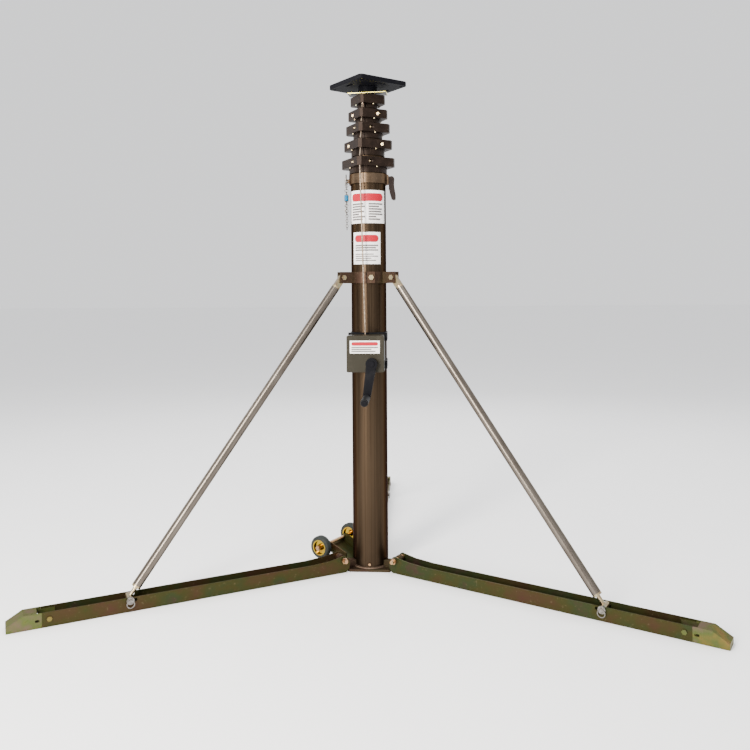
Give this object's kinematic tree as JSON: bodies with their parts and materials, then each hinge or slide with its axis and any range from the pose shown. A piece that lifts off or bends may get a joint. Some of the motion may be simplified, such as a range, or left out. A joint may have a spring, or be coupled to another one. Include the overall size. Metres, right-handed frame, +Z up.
{
  "type": "crank lighting stand",
  "caption": "Winch-raised telescopic mast on a folding braced tripod with channel legs, stacked rope heads, transport wheels and a flat adaptor plate on top.",
  "frame": {"origin": "on the floor, at the centre of the underside of the base plate, on the mast axis", "axes": "+Z up along the mast; -Y is the winch side, between two legs; +Y runs along the rear leg"},
  "size_m": [1.9876, 1.7214, 1.646],
  "materials": {
    "bronze_tube": "bronze anodised, satin",
    "dark_casting": "near-black brown, satin",
    "ring_bronze": "bronze, satin",
    "nylon": "natural",
    "yellow_zinc": "yellow passivated, bright",
    "sheave_steel": "turned, bright",
    "base_steel": "brown zinc, satin",
    "leg_zinc": "olive yellow zinc, satin",
    "nose_zinc": "iridescent yellow zinc",
    "brace_steel": "satin grey brown",
    "pin_steel": "bright zinc",
    "winch_paint": "olive brown, satin",
    "black_paint": "black, satin",
    "gear_steel": "machined",
    "grip_plastic": "matt black",
    "hub_gold": "yellow passivated, bright",
    "tyre_grey": "matt grey",
    "wire_rope": "stranded wire",
    "chain_steel": "bright zinc"
  },
  "bodies": {
    "base": {"base_plate": "base_steel", "tube_1": "bronze_tube", "base_fasteners": "yellow_zinc", "clamp_ring": "ring_bronze", "head_1": "dark_casting", "glides_1": "nylon", "hardware_1": "sheave_steel", "winch_housing": "winch_paint", "winch_straps": "black_paint", "wheel_bracket": "leg_zinc", "rope_lower": "wire_rope", "safety_chain": "chain_steel"},
    "lock_lever": {"lock_lever": "black_paint"},
    "crank": {"pinion_shaft": "gear_steel", "crank_arm": "black_paint"},
    "crank_grip": {"crank_grip": "grip_plastic"},
    "drum": {"winch_drum": "gear_steel"},
    "section_2": {"tube_2": "bronze_tube", "head_2": "dark_casting", "glides_2": "nylon", "hardware_2": "sheave_steel", "rope_span_2": "wire_rope"},
    "section_3": {"tube_3": "bronze_tube", "head_3": "dark_casting", "glides_3": "nylon", "hardware_3": "sheave_steel", "rope_span_3": "wire_rope"},
    "section_4": {"tube_4": "bronze_tube", "head_4": "dark_casting", "glides_4": "nylon", "hardware_4": "sheave_steel", "rope_span_4": "wire_rope"},
    "section_5": {"tube_5": "bronze_tube", "head_5": "dark_casting", "glides_5": "nylon", "hardware_5": "sheave_steel", "rope_span_5": "wire_rope", "top_plate": "black_paint", "spacer_plate": "yellow_zinc"},
    "collar": {"collar_band": "base_steel", "collar_bolts": "yellow_zinc"},
    "leg_1": {"leg_1": "leg_zinc", "leg_1_nose": "nose_zinc"},
    "brace_1": {"brace_1": "brace_steel", "brace_1_ends": "yellow_zinc"},
    "foot_pin_1": {"foot_pin_1": "pin_steel"},
    "leg_2": {"leg_2": "leg_zinc", "leg_2_nose": "nose_zinc"},
    "brace_2": {"brace_2": "brace_steel", "brace_2_ends": "yellow_zinc"},
    "foot_pin_2": {"foot_pin_2": "pin_steel"},
    "leg_3": {"leg_3": "leg_zinc", "leg_3_nose": "nose_zinc"},
    "brace_3": {"brace_3": "brace_steel", "brace_3_ends": "yellow_zinc"},
    "foot_pin_3": {"foot_pin_3": "pin_steel"},
    "wheel_1": {"wheel_1_hub": "hub_gold", "wheel_1_tyre": "tyre_grey"},
    "wheel_2": {"wheel_2_hub": "hub_gold", "wheel_2_tyre": "tyre_grey"}
  },
  "joints": [
    {"name": "crank_turn", "type": "hinge", "parent": "base", "child": "crank", "pos_m": [0.017, -0.15, 0.7], "axis": [0, 1, 0], "range_deg": [0, 32365]},
    {"name": "grip_spin", "type": "hinge", "parent": "crank", "child": "crank_grip", "pos_m": [-0.00009, -0.21, 0.58901], "axis": [0, 1, 0], "continuous": true},
    {"name": "drum_turn", "type": "hinge", "parent": "base", "child": "drum", "pos_m": [-0.0245, -0.1, 0.7174], "axis": [0, 1, 0], "range_deg": [-11769, 0]},
    {"name": "section_2_slide", "type": "slide", "parent": "base", "child": "section_2", "axis": [0, 0, 1], "range_m": [0, 0.95], "deforming": ["rope_span_2"]},
    {"name": "section_3_slide", "type": "slide", "parent": "section_2", "child": "section_3", "axis": [0, 0, 1], "range_m": [0, 0.95], "deforming": ["rope_span_3"]},
    {"name": "section_4_slide", "type": "slide", "parent": "section_3", "child": "section_4", "axis": [0, 0, 1], "range_m": [0, 0.95], "deforming": ["rope_span_4"]},
    {"name": "section_5_slide", "type": "slide", "parent": "section_4", "child": "section_5", "axis": [0, 0, 1], "range_m": [0, 0.95], "deforming": ["rope_span_5"]},
    {"name": "lever_lift", "type": "hinge", "parent": "base", "child": "lock_lever", "pos_m": [0.08, 0, 1.316], "axis": [0, -1, 0], "range_deg": [0, 145]},
    {"name": "collar_slide", "type": "slide", "parent": "base", "child": "collar", "axis": [0, 0, 1], "range_m": [0, 0.292]},
    {"name": "leg_1_hinge", "type": "hinge", "parent": "base", "child": "leg_1", "pos_m": [0, 0.113, 0.041], "axis": [1, 0, 0], "range_deg": [0, 22.1]},
    {"name": "leg_2_hinge", "type": "hinge", "parent": "base", "child": "leg_2", "pos_m": [-0.09786, -0.0565, 0.041], "axis": [-0.5, 0.866, 0], "range_deg": [0, 22.1]},
    {"name": "leg_3_hinge", "type": "hinge", "parent": "base", "child": "leg_3", "pos_m": [0.09786, -0.0565, 0.041], "axis": [-0.5, -0.866, 0], "range_deg": [0, 22.1]},
    {"name": "brace_1_hinge", "type": "hinge", "parent": "collar", "child": "brace_1", "pos_m": [0, 0.1, 0.98], "axis": [1, 0, 0], "range_deg": [-2.85, 0]},
    {"name": "brace_2_hinge", "type": "hinge", "parent": "collar", "child": "brace_2", "pos_m": [-0.0866, -0.05, 0.98], "axis": [-0.5, 0.866, 0], "range_deg": [-2.85, 0]},
    {"name": "brace_3_hinge", "type": "hinge", "parent": "collar", "child": "brace_3", "pos_m": [0.0866, -0.05, 0.98], "axis": [-0.5, -0.866, 0], "range_deg": [-2.85, 0]},
    {"name": "foot_pin_1_pull", "type": "slide", "parent": "brace_1", "child": "foot_pin_1", "axis": [1, 0, 0], "range_m": [0, 0.07]},
    {"name": "foot_pin_2_pull", "type": "slide", "parent": "brace_2", "child": "foot_pin_2", "axis": [0.5, -0.866, 0], "range_m": [0, 0.07]},
    {"name": "foot_pin_3_pull", "type": "slide", "parent": "brace_3", "child": "foot_pin_3", "axis": [-0.5, -0.866, 0], "range_m": [0, 0.07]},
    {"name": "wheel_1_spin", "type": "hinge", "parent": "base", "child": "wheel_1", "pos_m": [-0.08294, 0.14834, 0.059], "axis": [0.5, 0.866, 0], "continuous": true},
    {"name": "wheel_2_spin", "type": "hinge", "parent": "base", "child": "wheel_2", "pos_m": [-0.16994, -0.00234, 0.059], "axis": [0.5, 0.866, 0], "continuous": true}
  ],
  "couplings": [
    {"joint": "crank_turn", "follows": "section_2_slide", "rad_per_m": 594.59},
    {"joint": "drum_turn", "follows": "section_2_slide", "rad_per_m": -216.22},
    {"joint": "section_3_slide", "follows": "section_2_slide", "ratio": 1},
    {"joint": "section_4_slide", "follows": "section_2_slide", "ratio": 1},
    {"joint": "section_5_slide", "follows": "section_2_slide", "ratio": 1},
    {"joint": "leg_1_hinge", "follows": "collar_slide", "rad_per_m": 1.3175},
    {"joint": "leg_2_hinge", "follows": "collar_slide", "rad_per_m": 1.3175},
    {"joint": "leg_3_hinge", "follows": "collar_slide", "rad_per_m": 1.3175},
    {"joint": "brace_1_hinge", "follows": "collar_slide", "rad_per_m": -0.17},
    {"joint": "brace_2_hinge", "follows": "collar_slide", "rad_per_m": -0.17},
    {"joint": "brace_3_hinge", "follows": "collar_slide", "rad_per_m": -0.17}
  ]
}
